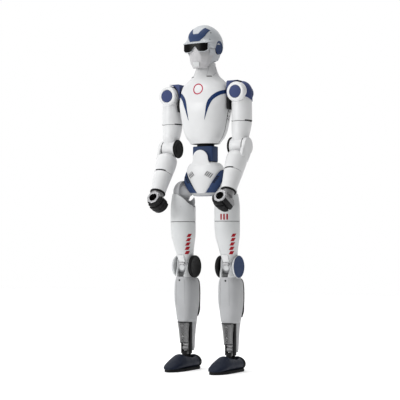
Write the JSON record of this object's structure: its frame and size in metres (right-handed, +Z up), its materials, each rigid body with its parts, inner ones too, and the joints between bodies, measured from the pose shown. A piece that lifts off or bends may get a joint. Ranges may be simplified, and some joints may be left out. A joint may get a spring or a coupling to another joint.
{
  "type": "humanoid robot",
  "caption": "Full-size standing humanoid robot with a visored helmet, white shells, blue shoulders, jointed arms with closed hands, and legs in shoes.",
  "frame": {"origin": "on the floor, at the middle of the robot's own outline seen from above", "axes": "+X towards the robot's left hand, -Y towards its front, +Z up"},
  "size_m": [0.5024, 0.3291, 1.6909],
  "materials": {
    "white_shell": "satin white painted shell",
    "grey_shell": "light grey satin shell",
    "light_metal": "bead-blasted aluminium",
    "frame_metal": "brushed frame metal",
    "dark_metal": "dark anodised fingers",
    "black_plastic": "black satin plastic",
    "slate_blue": "slate blue satin paint",
    "deep_blue": "deep blue satin paint",
    "navy_trim": "navy inlay",
    "visor_gloss": "black gloss",
    "shoe_upper": "navy moulded upper",
    "sole_rubber": "black rubber"
  },
  "bodies": {
    "pelvis": {"waist_block": "deep_blue", "pelvis_shield": "white_shell", "pelvis_rear": "white_shell", "pelvis_side_covers": "deep_blue", "pelvis_frame": "frame_metal"},
    "torso": {"chest_shell": "white_shell", "back_shell": "white_shell", "chest_trim": "navy_trim", "torso_frame": "frame_metal", "battery_pack": "black_plastic", "waist_ring": "black_plastic"},
    "neck": {"neck_shell": "white_shell"},
    "head": {"helmet_shell": "white_shell", "jaw_cover": "white_shell", "face_mask": "grey_shell", "visor": "visor_gloss", "helmet_trim": "deep_blue", "head_frame": "frame_metal"},
    "shoulder_left": {"shoulder_yoke_left": "slate_blue"},
    "upper_arm_left": {"shoulder_cover_left": "slate_blue", "shoulder_disc_left": "slate_blue", "upper_arm_left": "white_shell"},
    "elbow_left": {"elbow_housing_left": "white_shell", "elbow_disc_left": "black_plastic"},
    "forearm_left": {"forearm_upper_left": "white_shell"},
    "wrist_left": {"forearm_lower_left": "white_shell", "palm_left": "light_metal"},
    "fingers_left": {"fingers_left": "dark_metal"},
    "hip_left": {"hip_ball_left": "grey_shell"},
    "thigh_left": {"thigh_upper_left": "white_shell"},
    "knee_left": {"thigh_lower_left": "white_shell"},
    "shin_left": {"knee_discs_left": "deep_blue", "shin_shell_left": "white_shell", "calf_cover_left": "black_plastic", "ankle_cover_left": "frame_metal", "ankle_frame_left": "black_plastic"},
    "ankle_left": {"ankle_link_left": "light_metal"},
    "foot_left": {"shoe_left": "shoe_upper", "sole_left": "sole_rubber"},
    "shoulder_right": {"shoulder_yoke_right": "slate_blue"},
    "upper_arm_right": {"shoulder_cover_right": "slate_blue", "shoulder_disc_right": "slate_blue", "upper_arm_right": "white_shell"},
    "elbow_right": {"elbow_housing_right": "white_shell", "elbow_disc_right": "black_plastic"},
    "forearm_right": {"forearm_upper_right": "white_shell"},
    "wrist_right": {"forearm_lower_right": "white_shell", "palm_right": "light_metal"},
    "fingers_right": {"fingers_right": "dark_metal"},
    "hip_right": {"hip_ball_right": "grey_shell"},
    "thigh_right": {"thigh_upper_right": "white_shell"},
    "knee_right": {"thigh_lower_right": "white_shell"},
    "shin_right": {"knee_discs_right": "deep_blue", "shin_shell_right": "white_shell", "calf_cover_right": "black_plastic", "ankle_cover_right": "frame_metal", "ankle_frame_right": "black_plastic"},
    "ankle_right": {"ankle_link_right": "light_metal"},
    "foot_right": {"shoe_right": "shoe_upper", "sole_right": "sole_rubber"}
  },
  "joints": [
    {"name": "waist_yaw", "type": "hinge", "parent": "pelvis", "child": "torso", "pos_m": [0, 0.0405, 1.095], "axis": [0, 0, 1], "range_deg": [-60, 60]},
    {"name": "neck_yaw", "type": "hinge", "parent": "torso", "child": "neck", "pos_m": [0, 0.0465, 1.44], "axis": [0, 0, 1], "range_deg": [-70, 70]},
    {"name": "head_pitch", "type": "hinge", "parent": "neck", "child": "head", "pos_m": [0, 0.0485, 1.516], "axis": [1, 0, 0], "range_deg": [-20, 11]},
    {"name": "shoulder_pitch_left", "type": "hinge", "parent": "torso", "child": "shoulder_left", "pos_m": [0.1315, 0.0595, 1.349], "axis": [-1, 0, 0], "range_deg": [-3, 170]},
    {"name": "shoulder_roll_left", "type": "hinge", "parent": "shoulder_left", "child": "upper_arm_left", "pos_m": [0.194, 0.0485, 1.349], "axis": [0, -1, 0], "range_deg": [0, 90]},
    {"name": "shoulder_yaw_left", "type": "hinge", "parent": "upper_arm_left", "child": "elbow_left", "pos_m": [0.197, 0.0485, 1.208], "axis": [0, 0, 1], "range_deg": [-20, 90]},
    {"name": "elbow_pitch_left", "type": "hinge", "parent": "elbow_left", "child": "forearm_left", "pos_m": [0.197, 0.0305, 1.088], "axis": [-1, 0, 0], "range_deg": [-4, 76]},
    {"name": "wrist_yaw_left", "type": "hinge", "parent": "forearm_left", "child": "wrist_left", "pos_m": [0.197, -0.03804, 0.95909], "axis": [0, -0.4695, -0.8829], "range_deg": [-90, 90]},
    {"name": "finger_curl_left", "type": "hinge", "parent": "wrist_left", "child": "fingers_left", "pos_m": [0.192, -0.12255, 0.80016], "axis": [0, -0.8829, 0.4695], "range_deg": [0, 70]},
    {"name": "hip_pitch_left", "type": "hinge", "parent": "pelvis", "child": "hip_left", "pos_m": [0.124, 0.0325, 0.873], "axis": [-1, 0, 0], "range_deg": [-35, 26]},
    {"name": "hip_roll_left", "type": "hinge", "parent": "hip_left", "child": "thigh_left", "pos_m": [0.124, 0.0325, 0.873], "axis": [0, -1, 0], "range_deg": [-8, 22]},
    {"name": "hip_yaw_left", "type": "hinge", "parent": "thigh_left", "child": "knee_left", "pos_m": [0.124, 0.0325, 0.727], "axis": [0, 0, 1], "range_deg": [-40, 40]},
    {"name": "knee_pitch_left", "type": "hinge", "parent": "knee_left", "child": "shin_left", "pos_m": [0.124, 0.0625, 0.508], "axis": [1, 0, 0], "range_deg": [0, 100]},
    {"name": "ankle_pitch_left", "type": "hinge", "parent": "shin_left", "child": "ankle_left", "pos_m": [0.124, 0.0655, 0.108], "axis": [-1, 0, 0], "range_deg": [-25, 25]},
    {"name": "ankle_roll_left", "type": "hinge", "parent": "ankle_left", "child": "foot_left", "pos_m": [0.124, 0.0655, 0.084], "axis": [0, -1, 0], "range_deg": [-15, 15]},
    {"name": "shoulder_pitch_right", "type": "hinge", "parent": "torso", "child": "shoulder_right", "pos_m": [-0.1315, 0.0595, 1.349], "axis": [-1, 0, 0], "range_deg": [-3, 170]},
    {"name": "shoulder_roll_right", "type": "hinge", "parent": "shoulder_right", "child": "upper_arm_right", "pos_m": [-0.194, 0.0485, 1.349], "axis": [0, -1, 0], "range_deg": [-90, 0]},
    {"name": "shoulder_yaw_right", "type": "hinge", "parent": "upper_arm_right", "child": "elbow_right", "pos_m": [-0.197, 0.0485, 1.208], "axis": [0, 0, 1], "range_deg": [-90, 20]},
    {"name": "elbow_pitch_right", "type": "hinge", "parent": "elbow_right", "child": "forearm_right", "pos_m": [-0.197, 0.0305, 1.088], "axis": [-1, 0, 0], "range_deg": [-4, 76]},
    {"name": "wrist_yaw_right", "type": "hinge", "parent": "forearm_right", "child": "wrist_right", "pos_m": [-0.197, -0.03804, 0.95909], "axis": [0, -0.4695, -0.8829], "range_deg": [-90, 90]},
    {"name": "finger_curl_right", "type": "hinge", "parent": "wrist_right", "child": "fingers_right", "pos_m": [-0.192, -0.12255, 0.80016], "axis": [0, -0.8829, 0.4695], "range_deg": [-70, 0]},
    {"name": "hip_pitch_right", "type": "hinge", "parent": "pelvis", "child": "hip_right", "pos_m": [-0.124, 0.0325, 0.873], "axis": [-1, 0, 0], "range_deg": [-35, 26]},
    {"name": "hip_roll_right", "type": "hinge", "parent": "hip_right", "child": "thigh_right", "pos_m": [-0.124, 0.0325, 0.873], "axis": [0, -1, 0], "range_deg": [-22, 8]},
    {"name": "hip_yaw_right", "type": "hinge", "parent": "thigh_right", "child": "knee_right", "pos_m": [-0.124, 0.0325, 0.727], "axis": [0, 0, 1], "range_deg": [-40, 40]},
    {"name": "knee_pitch_right", "type": "hinge", "parent": "knee_right", "child": "shin_right", "pos_m": [-0.124, 0.0625, 0.508], "axis": [1, 0, 0], "range_deg": [0, 100]},
    {"name": "ankle_pitch_right", "type": "hinge", "parent": "shin_right", "child": "ankle_right", "pos_m": [-0.124, 0.0655, 0.108], "axis": [-1, 0, 0], "range_deg": [-25, 25]},
    {"name": "ankle_roll_right", "type": "hinge", "parent": "ankle_right", "child": "foot_right", "pos_m": [-0.124, 0.0655, 0.084], "axis": [0, -1, 0], "range_deg": [-15, 15]}
  ]
}
